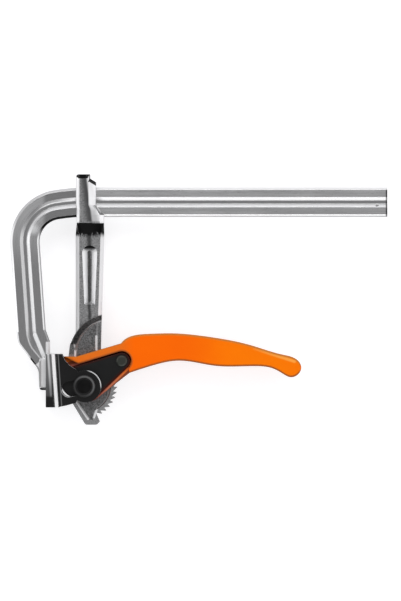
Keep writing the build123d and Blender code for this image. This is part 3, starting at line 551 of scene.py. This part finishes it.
def makeArmSteel():
    material, tree, shader = startMaterial("forgedSteel")
    x, y, z = parts(tree, place(tree))
    faceX, faceY, faceZ = parts(tree, facing(tree))
    edges = effect(tree, "edges", Radius=arm["edgeRadius"], Reach=0.3)
    edgeY = parts(tree, edges["Facing"])[1]
    spots = effect(tree, "speckle", Vector=place(tree), Size=arm["grainSize"], Patches=0.006)
    grain = ramp(tree, spots["Grain"], 0.3, 0.7)
    level = sums(tree, "ABSOLUTE", z)
    onPlate = ramp(tree, y, arm["plateTop"] + 0.008, arm["plateTop"] - 0.002)
    sideways = sums(tree, "ABSOLUTE", faceX)
    crosswise = sums(tree, "ABSOLUTE", faceY)
    upFace = ramp(tree, sums(tree, "ABSOLUTE", faceZ), 0.8, 0.95)
    tone = blendColour(tree, grain, *arm["shank"])
    # painted shade: the plate is darker than the shank
    tone = blendColour(tree, onPlate, tone, blendColour(tree, grain, *arm["plate"]))
    offPlate = sums(tree, "MAXIMUM", ramp(tree, y, *arm["shankFrom"]),
                    ramp(tree, level, *arm["shankLevel"]))
    # painted highlights on faces that turn sideways and on the edges off the plate
    onFlank = product(tree, ramp(tree, sideways, 0.25, 0.6),
                      sums(tree, "MAXIMUM", offPlate, ramp(tree, sideways, 0.5, 0.8)))
    tone = blendColour(tree, onFlank, tone, arm["flank"])
    onRim = product(tree, ramp(tree, level, arm["rimLevel"] - 0.0003, arm["rimLevel"]),
                    ramp(tree, y, arm["rimTop"] + 0.0006, arm["rimTop"] - 0.0006))
    tone = blendColour(tree, onRim, tone, blendColour(tree, grain, *arm["rim"]))
    tone = blendColour(tree, product(tree, edges["Mask"], offPlate), tone, arm["edge"])
    # painted shade on the outline of the foot and the teeth, darkest on the edges that face down
    lowEdge = product(tree, ramp(tree, edgeY, -0.1, -0.4), ramp(tree, y, *arm["footFrom"]))
    outline = product(tree, edges["Mask"], ramp(tree, y, *arm["outlineFrom"]), arm["outlineStrength"])
    tone = blendColour(tree, sums(tree, "MAXIMUM", lowEdge, outline), tone, arm["underEdge"])
    # front of the head: painted shade growing towards its bright right side, and darker left of the line by
    # its left edge
    onHead = ramp(tree, y, arm["collarHigh"], arm["collarHigh"] + 0.002)
    skew = product(tree, sums(tree, "SUBTRACT", y, arm["headMiddle"]), arm["headLean"])
    skewed = sums(tree, "ADD", x, skew)
    darker = product(tree, ramp(tree, skewed, arm["headLine"][1], arm["headBright"] - 0.0006), onHead, upFace)
    tone = blendColour(tree, darker, tone, arm["headShade"])
    headLeft = product(tree, ramp(tree, x, arm["headLine"][0] + 0.0002, arm["headLine"][0] - 0.0004),
                       onHead, upFace)
    tone = blendColour(tree, headLeft, tone, arm["headLeft"])
    # painted highlights: slopes of the recess, right side of the head and the line by its left edge
    aside = sums(tree, "ABSOLUTE", sums(tree, "SUBTRACT", x, arm["streakX"]))
    slopeWidth = ramp(tree, y, *arm["slopeRise"], *arm["slopeWidth"])
    slopeFade = ramp(tree, aside, 0.0004, slopeWidth, 0.05, 1.0)
    inRecess = product(tree, ramp(tree, y, arm["recessLow"] - 0.0006, arm["recessLow"] + 0.0006),
                       ramp(tree, y, arm["recessHighlightTop"] + 0.001, arm["recessHighlightTop"] - 0.001),
                       ramp(tree, aside, arm["recessHalf"] + 0.0002, arm["recessHalf"] - 0.0002),
                       ramp(tree, sideways, 0.2, 0.5), slopeFade)
    headSide = ramp(tree, skewed, arm["headBright"] - 0.0002, arm["headBright"] + 0.0014)
    headSide = product(tree, headSide, ramp(tree, skewed, *arm["headGain"]))
    headLine = product(tree, band(tree, x, *arm["headLine"], 0.0005), arm["headLineStrength"])
    headHighlight = product(tree, sums(tree, "MAXIMUM", headSide, headLine), onHead)
    # painted highlights on the walls of the sunk panel and a faint one in an arc by the teeth
    onFaces = product(tree, ramp(tree, level, *arm["faceFrom"]), ramp(tree, level, *arm["faceTo"]))
    nearest = 1.0
    for line in arm["panelLines"]:
        nearest = sums(tree, "MINIMUM", nearest, besideLine(tree, x, y, *line))
    wall = ramp(tree, nearest, arm["panelLineHalf"] + 0.0004, arm["panelLineHalf"] - 0.0003)
    wall = product(tree, wall, onFaces)
    reachPin = distance(tree, x, y, mainPin["x"], mainPin["y"])
    arc = product(tree, band(tree, reachPin, *arm["toothArc"], 0.0003), onFaces,
                  ramp(tree, x, *arm["toothFrom"]), ramp(tree, y, *arm["toothBelow"]))
    tone = blendColour(tree, product(tree, arc, arm["toothStrength"]), tone, arm["toothTone"])
    tone = blendColour(tree, wall, tone, arm["panelLine"])
    paintedHighlight = sums(tree, "MAXIMUM", inRecess, headHighlight)
    tone = blendColour(tree, paintedHighlight, tone, arm["paintedHighlight"])
    # painted shade in a dark line down the middle of the shank, wider near the collar
    wander = product(tree, sums(tree, "SUBTRACT", spots["Patch"], 0.5), arm["streakWander"])
    offset = sums(tree, "ABSOLUTE", sums(tree, "SUBTRACT", sums(tree, "ADD", x, wander), arm["streakX"]))
    reachOut = ramp(tree, y, *arm["streakWidens"], 2 * arm["streakHalf"], 2.7 * arm["streakHalf"])
    streak = product(tree, ramp(tree, offset, reachOut, 0.3 * arm["streakHalf"]),
                     ramp(tree, faceZ, 0.8, 0.95))
    streak = product(tree, streak, ramp(tree, y, *arm["streakFrom"]), ramp(tree, y, *arm["streakTo"]),
                     arm["streakStrength"])
    tone = blendColour(tree, streak, tone, arm["streak"])
    # painted shade on the round shoulder of the waist, darker than the faces on both sides of it
    reach = distance(tree, x, y, arm["waistX"], arm["waistY"])
    shoulder = product(tree, band(tree, reach, arm["waistInner"], arm["waistOuter"], 0.0006),
                       band(tree, y, arm["waistFoot"], arm["waistTop"], 0.001),
                       ramp(tree, level, *arm["waistLevel"]))
    tone = blendColour(tree, shoulder, tone, blendColour(tree, grain, *arm["shoulder"]))
    # painted shade in black under the collar, fading in short streaks below it, and round the top of the
    # recess
    stretched = joined(tree, x, product(tree, y, arm["collarStretch"]), z)
    runs = effect(tree, "speckle", Vector=stretched, Size=0.0007, Patches=0.006)
    ragged = product(tree, sums(tree, "SUBTRACT", runs["Grain"], 0.5), arm["collarRagged"])
    fade = ramp(tree, sums(tree, "ADD", y, ragged), arm["collarLow"] - arm["collarFade"], arm["collarLow"])
    collar = product(tree, fade, ramp(tree, y, arm["collarHigh"] + 0.0003, arm["collarHigh"] - 0.0003))
    across = product(tree, ramp(tree, crosswise, 0.3, 0.45), ramp(tree, sideways, 0.8, 0.55))
    across = product(tree, across, ramp(tree, y, arm["recessHigh"] - 0.0035, arm["recessHigh"]))
    fall = product(tree, sums(tree, "SUBTRACT", x, arm["stepX"]), arm["stepFall"])
    underStep = sums(tree, "SUBTRACT", sums(tree, "ADD", y, fall), arm["stepY"] - arm["stepBand"])
    step = product(tree, ramp(tree, underStep, 0.0, 0.0004),
                   ramp(tree, x, arm["stepX"] - 0.0003, arm["stepX"] + 0.0003))
    shadedBlack = sums(tree, "MAXIMUM", sums(tree, "MAXIMUM", collar, across), step)
    feed(tree, shader.inputs["Base Color"], blendColour(tree, shadedBlack, tone, arm["shadeBlack"]))
    # the painted highlights are made less metallic
    lightened = product(tree, sums(tree, "MAXIMUM", paintedHighlight, wall), arm["highlightMatte"])
    feed(tree, shader.inputs["Metallic"], sums(tree, "SUBTRACT", 1.0, lightened))
    rough = sums(tree, "ADD", arm["roughness"], product(tree, spots["Grain"], arm["grainRoughness"]))
    feed(tree, shader.inputs["Roughness"], rough)
    height = sums(tree, "ADD", spots["Grain"], product(tree, spots["Patch"], 0.5))
    feed(tree, shader.inputs["Normal"], bump(tree, height, 0.5, arm["grainDepth"], edges["Normal"]))
    return material


finishNode("sliding_arm", makeArmSteel())
print("arm finished")


# glossy black, with edges that face up worn and painted lighter as a painted highlight, and painted
# reflections on the shoe's front
blackFinish = {
    "black": grey(0.005),
    "faded": grey(0.012),
    "lightened": grey(0.6),
    "sheen": 0.24,
    "roughness": 0.24,
    "grainRoughness": 0.16,
    "grainDepth": 0.00006,
    "edgeRadius": 0.0005,
    # what the orange round the cam plates casts on their rims, and how far in it reaches
    "rimGlow": (0.03, 0.003, 0.001, 1.0),
    "rimReach": 0.0016,
    # painted highlight on the cam plates' edges that face down and left, and how metallic it is
    "edgeGlint": grey(0.95),
    "edgeGlintMetal": 0.3,
}

# painted reflections in stripes down the front of the shoe, given as places along X where Y is 0
shoe = {
    "slant": 0.068,
    "reflectionTop": -0.0172,
    "reflectionEnd": 0.0016,
    "dark": grey(0.24),
    "dim": grey(0.13),
    "light": grey(0.9),
    "lineX": -0.0001,
    "lineHalf": 0.0007,
    "stripe": (0.0022, 0.0045),
    # stretch along X where the edge between hollow and lobe stays black
    "keptBlack": (0.0182, 0.0262),
    # painted highlight on the rim at the closed end of the slot
    "slotX": 0.0137,
    "slotY": -0.0125,
    "slotRim": (0.0050, 0.0057),
    "slotSide": (-0.64, -0.77),
    "slotSpread": (0.0034, 0.0048),
    # a faint painted highlight in a line down the front, the colour of the painted highlights, and the
    # painted highlight round the cheek's lobe and hollow
    "faintX": 0.0068,
    "faintHalf": 0.0003,
    "faint": grey(0.13),
    "bright": grey(0.97),
    "lobeX": 0.0249,
    "lobeY": -0.0105,
    "lobeRadius": 0.0112,
    "lobeLine": 0.0007,
    "lobeSide": (0.0073, 0.0093),
    "hollow": (-0.001, 0.009),
    "hollowFrom": (0.009, 0.011),
    "highlightStrength": 0.6,
    # how metallic the front with the painted reflections is, and how much less so the painted highlights are
    "reflectionMetal": 0.8,
    "highlightMatte": 0.7,
}


def blackBase(name):
    material, tree, shader = startMaterial(name)
    edges = effect(tree, "edges", Radius=blackFinish["edgeRadius"], Reach=0.35)
    spots = effect(tree, "speckle", Vector=place(tree), Size=0.0009, Patches=0.012)
    tone = blendColour(tree, spots["Patch"], blackFinish["black"], blackFinish["faded"])
    rough = sums(tree, "ADD", blackFinish["roughness"],
                 product(tree, spots["Grain"], blackFinish["grainRoughness"]))
    feed(tree, shader.inputs["Roughness"], rough)
    shader.inputs["Specular IOR Level"].default_value = blackFinish["sheen"]
    normal = bump(tree, spots["Grain"], 0.25, blackFinish["grainDepth"], edges["Normal"])
    feed(tree, shader.inputs["Normal"], normal)
    return material, tree, shader, edges, tone


def makeCamBlack():
    material, tree, shader, edges, tone = blackBase("blackCam")
    edgeX, edgeY = parts(tree, edges["Facing"])[:2]
    gap = effect(tree, "camGap")["Gap"]
    tone = blendColour(tree, ramp(tree, gap, -blackFinish["rimReach"], -0.0002), tone, blackFinish["rimGlow"])
    # painted highlight on the edges that face down and left
    backward = sums(tree, "ADD", product(tree, edgeX, 0.7), product(tree, edgeY, 0.7))
    edgeGlint = product(tree, ramp(tree, edges["Mask"], 0.0, 0.2), ramp(tree, backward, -0.3, -0.5))
    feed(tree, shader.inputs["Base Color"], blendColour(tree, edgeGlint, tone, blackFinish["edgeGlint"]))
    feed(tree, shader.inputs["Metallic"], product(tree, edgeGlint, blackFinish["edgeGlintMetal"]))
    return material


def makeShoeBlack():
    material, tree, shader, edges, tone = blackBase("blackShoe")
    x, y = parts(tree, place(tree))[:2]
    faceZ = parts(tree, facing(tree))[2]
    edgeX, edgeY = parts(tree, edges["Facing"])[:2]
    # edges that face up and right, worn and painted lighter as a painted highlight, except along the stretch
    # kept black
    upright = sums(tree, "ADD", edgeX, edgeY)
    wornAndHighlit = product(tree, ramp(tree, edges["Mask"], 0.15, 0.6), ramp(tree, upright, 0.1, 0.5))
    wornAndHighlit = product(tree, wornAndHighlit, sums(tree, "SUBTRACT", 1.0, band(tree, x, *shoe["keptBlack"], 0.0008)))
    upFace = ramp(tree, sums(tree, "ABSOLUTE", faceZ), 0.8, 0.95)
    outFace = ramp(tree, sums(tree, "ABSOLUTE", faceZ), 0.3, 0.45)
    # painted highlight in a band down the shoe's front
    slanted = sums(tree, "ADD", x, product(tree, y, shoe["slant"]))
    stripe = product(tree, band(tree, slanted, *shoe["stripe"], 0.0003), outFace)
    # painted highlight in a line round the upper right of the cheek's lobe, and along the hollow above it
    lobe = distance(tree, x, y, shoe["lobeX"], shoe["lobeY"])
    upRight = lean(tree, x, y, (shoe["lobeX"], shoe["lobeY"]), (0.8, 0.6))
    onLobe = band(tree, lobe, shoe["lobeRadius"] - shoe["lobeLine"], shoe["lobeRadius"] + 0.001, 0.0001)
    paintedHighlight = product(tree, onLobe, ramp(tree, upRight, *shoe["lobeSide"]), upFace)
    hollow = product(tree, wornAndHighlit, band(tree, y, *shoe["hollow"], 0.0006),
                     ramp(tree, x, *shoe["hollowFrom"]))
    # painted highlight on the rim at the closed end of the slot
    slotEnd = distance(tree, x, y, shoe["slotX"], shoe["slotY"])
    slotSide = lean(tree, x, y, (shoe["slotX"], shoe["slotY"]), shoe["slotSide"])
    slotRim = product(tree, band(tree, slotEnd, *shoe["slotRim"], 0.0002),
                      ramp(tree, slotSide, *shoe["slotSpread"]), upFace)
    # painted reflections in grey stripes with a light line down the front of the shoe, ending lower down
    rise = ramp(tree, y, shoe["reflectionTop"] - 0.0014, shoe["reflectionTop"] + 0.0014)
    reflected = product(tree, upFace, rise, ramp(tree, x, shoe["reflectionEnd"] + 0.0006, shoe["reflectionEnd"]))
    offset = sums(tree, "ABSOLUTE", sums(tree, "SUBTRACT", slanted, shoe["lineX"]))
    line = ramp(tree, offset, shoe["lineHalf"] * 1.5, shoe["lineHalf"] * 0.5)
    line = product(tree, line, ramp(tree, y, shoe["reflectionTop"], 0.006, 0.25, 1.0))
    stripes = blendColour(tree, ramp(tree, y, shoe["reflectionTop"], 0.0), shoe["dim"], shoe["dark"])
    stripes = blendColour(tree, line, stripes, shoe["light"])
    # faint painted highlight in a line down the front
    faintOffset = sums(tree, "ABSOLUTE", sums(tree, "SUBTRACT", slanted, shoe["faintX"]))
    faint = product(tree, ramp(tree, faintOffset, shoe["faintHalf"] * 2, shoe["faintHalf"] * 0.5), upFace)
    paintedHighlight = product(tree, sums(tree, "MAXIMUM", paintedHighlight, hollow), shoe["highlightStrength"])
    bright = sums(tree, "MAXIMUM", stripe, sums(tree, "MAXIMUM", paintedHighlight, slotRim))
    tone = blendColour(tree, faint, tone, shoe["faint"])
    tone = blendColour(tree, wornAndHighlit, tone, blackFinish["lightened"])
    tone = blendColour(tree, reflected, tone, stripes)
    feed(tree, shader.inputs["Base Color"], blendColour(tree, bright, tone, shoe["bright"]))
    # the painted reflections are metallic, the painted highlights less so
    metal = sums(tree, "MAXIMUM", wornAndHighlit, product(tree, reflected, shoe["reflectionMetal"]))
    metal = sums(tree, "SUBTRACT", metal, product(tree, bright, shoe["highlightMatte"]), clamp=True)
    feed(tree, shader.inputs["Metallic"], metal)
    return material


finishNode("pressure_shoe", makeShoeBlack())
camBlack = makeCamBlack()
for node in ("cam_plate_front", "cam_plate_rear"):
    finishNode(node, camBlack)
print("shoe and cams finished")


# orange powder coating, with painted light on the top edges and painted shade in brown under the handle and
# in the pocket
handle = {
    "orange": (1.0, 0.145, 0.0, 1.0),
    "pale": (1.0, 0.205, 0.0, 1.0),
    "paleFrom": 0.085,
    "paleTo": 0.14,
    "deep": (0.9, 0.115, 0.0, 1.0),
    "fork": (0.78, 0.16, 0.012, 1.0),
    "forkEnd": (0.06, 0.046),
    # painted light and shade on the rounded edges: golden on top, brown underneath
    "topEdge": (0.6, 0.2, 0.03, 1.0),
    "underEdge": (0.36, 0.095, 0.012, 1.0),
    # painted shade in the pocket and on its rim, as distances from the cam plates' edge
    "pocket": (0.05, 0.003, 0.0, 1.0),
    "pocketRim": (0.42, 0.1, 0.02, 1.0),
    "rimFrom": 0.0011,
    "rimTo": 0.0030,
    "rimStart": (0.010, 0.016),
    "stripFrom": 0.0006,
    "stripTo": 0.0020,
    # painted shade on the strip under the cam plates, lightening from its low end to the grip
    "stripLow": (0.42, 0.12, 0.085, 1.0),
    "strip": (0.7, 0.22, 0.12, 1.0),
    "stripHigh": (0.95, 0.21, 0.035, 1.0),
    "stripMiddle": (0.034, 0.042),
    "stripGrip": (0.042, 0.054),
    "stripEdge": (0.24, 0.06, 0.025, 1.0),
    "pocketLevel": 0.0074,
    "pocketReach": 0.0040,
    # painted highlight in a line that grows along the top of the tip
    "tipLine": ((0.143, 0.0158), (0.171, 0.0068)),
    "tipHalf": 0.0008,
    "tipLight": (1.0, 0.37, 0.055, 1.0),
    "tipGrow": (0.13, 0.162),
    "roughness": 0.36,
    "sheen": 0.07,
    "peel": 0.0011,
    "peelDepth": 0.00008,
    "edgeRadius": 0.0018,
}


def makeOrangeCoat():
    material, tree, shader = startMaterial("orangeCoat")
    x, y, z = parts(tree, place(tree))
    edges = effect(tree, "edges", Radius=handle["edgeRadius"], Reach=0.3)
    edgeY, edgeZ = parts(tree, edges["Facing"])[1:]
    spots = effect(tree, "speckle", Vector=place(tree), Size=handle["peel"], Patches=0.03)
    paler = ramp(tree, x, handle["paleFrom"], handle["paleTo"])
    tone = blendColour(tree, paler, handle["orange"], handle["pale"])
    tone = blendColour(tree, ramp(tree, spots["Patch"], 0.3, 0.7, 0.0, 0.3), tone, handle["deep"])
    tone = blendColour(tree, ramp(tree, x, *handle["forkEnd"]), tone, handle["fork"])
    # painted highlight along the top of the tip
    tipLine = ramp(tree, besideLine(tree, x, y, *handle["tipLine"]),
                   2 * handle["tipHalf"], 0.5 * handle["tipHalf"])
    tipLine = product(tree, tipLine, ramp(tree, x, *handle["tipGrow"]))
    tone = blendColour(tree, tipLine, tone, handle["tipLight"])
    # painted light and shade on the rounded edges, golden on top and brown underneath; only the rounded edges
    # take these, not the sides of the handle
    rounded = ramp(tree, sums(tree, "ABSOLUTE", edgeZ), 0.03, 0.2)
    topEdge = product(tree, ramp(tree, edgeY, 0.06, 0.4), rounded)
    tone = blendColour(tree, topEdge, tone, handle["topEdge"])
    underEdge = product(tree, ramp(tree, edgeY, -0.06, -0.45), rounded)
    tone = blendColour(tree, underEdge, tone, handle["underEdge"])
    # painted shade in the pocket, dark beside the cam plates, with a strip that shows below them
    gap = effect(tree, "camGap")["Gap"]
    nearPocket = product(tree, ramp(tree, gap, handle["rimTo"], handle["rimFrom"]),
                         ramp(tree, x, *handle["rimStart"]))
    tone = blendColour(tree, nearPocket, tone, handle["pocketRim"])
    strip = blendColour(tree, ramp(tree, x, *handle["stripMiddle"]), handle["stripLow"], handle["strip"])
    strip = blendColour(tree, ramp(tree, x, *handle["stripGrip"]), strip, handle["stripHigh"])
    pastPocket = ramp(tree, gap, handle["stripFrom"] - 0.0004, handle["stripFrom"] + 0.0006)
    wall = blendColour(tree, pastPocket, handle["pocket"], strip)
    pastStrip = ramp(tree, gap, handle["stripTo"] - 0.0003, handle["stripTo"] + 0.0006)
    wall = blendColour(tree, pastStrip, wall, handle["stripEdge"])
    aboveCams = ramp(tree, lean(tree, x, y, (camEdge["x"], camEdge["y"]), (0.02, 1.0)), -0.001, 0.001)
    wall = blendColour(tree, aboveCams, wall, handle["pocket"])
    sunk = ramp(tree, sums(tree, "ABSOLUTE", z), handle["pocketLevel"], handle["pocketLevel"] - 0.0005)
    sunk = product(tree, sunk, ramp(tree, gap, handle["pocketReach"] + 0.001, handle["pocketReach"]))
    tone = blendColour(tree, sunk, tone, wall)
    feed(tree, shader.inputs["Base Color"], tone)
    rough = sums(tree, "ADD", handle["roughness"], product(tree, spots["Patch"], 0.1))
    feed(tree, shader.inputs["Roughness"], rough)
    feed(tree, shader.inputs["Normal"], bump(tree, spots["Grain"], 0.3, handle["peelDepth"], edges["Normal"]))
    shader.inputs["Specular IOR Level"].default_value = handle["sheen"]
    return material


finishNode("lever_handle", makeOrangeCoat())
print("handle finished")


# what the turned parts share
turnedSteel = {
    "ringSpacing": 0.0005,
    "ringDepth": 0.00004,
    "ringRoughness": 0.2,
    "edgeRadius": 0.0004,
    "metal": 0.85,
}


def makeTurnedSteel(name, piece):
    material, tree, shader = startMaterial(name)
    spacing = turnedSteel["ringSpacing"]
    rings = effect(tree, "rings", Centre_X=piece["x"], Centre_Y=piece["y"], Spacing=spacing)
    edges = effect(tree, "edges", Radius=turnedSteel["edgeRadius"], Reach=0.3)
    spots = effect(tree, "speckle", Vector=place(tree), Size=0.0007, Patches=0.005)
    # edges worn and painted lighter as a painted highlight, with random patches
    wornAndHighlit = product(tree, edges["Mask"], piece["wear"])
    wornAndHighlit = sums(tree, "ADD", wornAndHighlit, product(tree, spots["Patch"], 0.06), clamp=True)
    if "ring" in piece:
        # painted light in a ring, stronger on the side that the ringSide direction gives
        x, y = parts(tree, place(tree))[:2]
        aside = lean(tree, x, y, (piece["x"], piece["y"]), piece["ringSide"])
        ring = product(tree, band(tree, rings["Radius"], *piece["ring"], 0.0004),
                       ramp(tree, aside, *piece["ringGrow"]))
        wornAndHighlit = sums(tree, "MAXIMUM", wornAndHighlit, ring)
    feed(tree, shader.inputs["Base Color"], blendColour(tree, wornAndHighlit, piece["face"], piece["rim"]))
    shader.inputs["Metallic"].default_value = turnedSteel["metal"]
    rough = sums(tree, "ADD", piece["roughness"],
                 product(tree, rings["Rings"], turnedSteel["ringRoughness"]))
    feed(tree, shader.inputs["Roughness"], rough)
    normal = bump(tree, rings["Rings"], 0.4, turnedSteel["ringDepth"], edges["Normal"])
    feed(tree, shader.inputs["Normal"], normal)
    return material


finishNode("main_pin", makeTurnedSteel("blackenedPin", mainPin))
finishNode("handle_rivet", makeTurnedSteel("blackenedRivet", rivet))
washerSteel = makeTurnedSteel("washerSteel", washers)
plainSteel = makeTurnedSteel("bareSteel", bareSteel)
for node in ("pin_washer_front", "pin_washer_rear"):
    finishNode(node, washerSteel)
for node in ("rivet_sleeve", "ratchet_pawl", "pawl_pin", "pawl_spring"):
    finishNode(node, plainSteel)
print("small parts finished")


studio = {
    "floorSize": 3.0,
    "floorColour": grey(0.5),
    "floorGlow": 0.68,
    "floorRoughness": 0.9,
    # strength of the sky overhead and at the horizon, and the heights it changes between
    "zenith": 0.36,
    "horizon": 0.9,
    "skyRise": (0.25, 0.85),
    "lamps": [
        # name, place, size, power, all aimed at the clamp's middle
        ("leftBox", (-0.95, 0.15, 0.55), (0.5, 1.0), 1.5),
        ("rightBox", (1.15, 0.05, 0.55), (0.5, 1.0), 1.5),
        ("topBox", (0.0, 0.95, 0.95), (1.1, 0.6), 6.0),
        ("lowBox", (0.1, -0.95, 0.7), (1.1, 0.5), 4.0),
    ],
    "viewCentre": (0.10535, 0.04935),
    "viewHeight": 0.4207,
    "cameraDistance": 4.0,
    "sensorWidth": 36.0,
}


def makeFloor():
    half = studio["floorSize"] / 2
    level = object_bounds()[0][2] - 0.0001
    centreX, centreY = studio["viewCentre"]
    corners = [(centreX + sideX * half, centreY + sideY * half, level)
               for sideX, sideY in ((-1, -1), (1, -1), (1, 1), (-1, 1))]
    mesh = bpy.data.meshes.new("floor")
    mesh.from_pydata(corners, [], [(0, 1, 2, 3)])
    floor = bpy.data.objects.new("floor", mesh)
    bpy.context.scene.collection.objects.link(floor)
    material, tree, shader = startMaterial("paleFloor")
    shader.inputs["Base Color"].default_value = studio["floorColour"]
    shader.inputs["Roughness"].default_value = studio["floorRoughness"]
    # what the camera, metal and glass see of it is lifted to white, and the shadow stays
    path = put(tree, "ShaderNodeLightPath")
    seen = sums(tree, "MAXIMUM", path.outputs["Is Camera Ray"], path.outputs["Is Glossy Ray"])
    seen = sums(tree, "MAXIMUM", seen, path.outputs["Is Transmission Ray"])
    shader.inputs["Emission Color"].default_value = grey(1.0)
    feed(tree, shader.inputs["Emission Strength"], product(tree, seen, studio["floorGlow"]))
    mesh.materials.append(material)


def makeWorld():
    world = bpy.data.worlds.new("studio")
    bpy.context.scene.world = world
    world.use_nodes = True
    tree = world.node_tree
    background = tree.nodes["Background"]
    z = parts(tree, put(tree, "ShaderNodeTexCoord").outputs["Generated"])[2]
    sky = ramp(tree, z, *studio["skyRise"], studio["horizon"], studio["zenith"])
    feed(tree, background.inputs["Strength"], sky)
    background.inputs["Color"].default_value = grey(1.0)


def makeLamps():
    centre = Vector((*studio["viewCentre"], 0.0))
    for name, spot, size, power in studio["lamps"]:
        light = bpy.data.lights.new(name, "AREA")
        light.shape = "RECTANGLE"
        light.size, light.size_y = size
        light.energy = power
        lamp = bpy.data.objects.new(name, light)
        lamp.location = spot
        lamp.rotation_euler = (centre - Vector(spot)).to_track_quat("-Z", "Y").to_euler()
        bpy.context.scene.collection.objects.link(lamp)


def makeCamera():
    data = bpy.data.cameras.new("camera")
    data.sensor_width = studio["sensorWidth"]
    data.lens = data.sensor_width * studio["cameraDistance"] / studio["viewHeight"]
    camera = bpy.data.objects.new("camera", data)
    camera.location = (*studio["viewCentre"], studio["cameraDistance"])
    bpy.context.scene.collection.objects.link(camera)
    bpy.context.scene.camera = camera


makeFloor()
makeWorld()
makeLamps()
makeCamera()
bpy.context.scene.view_settings.view_transform = "Standard"
print("studio ready")
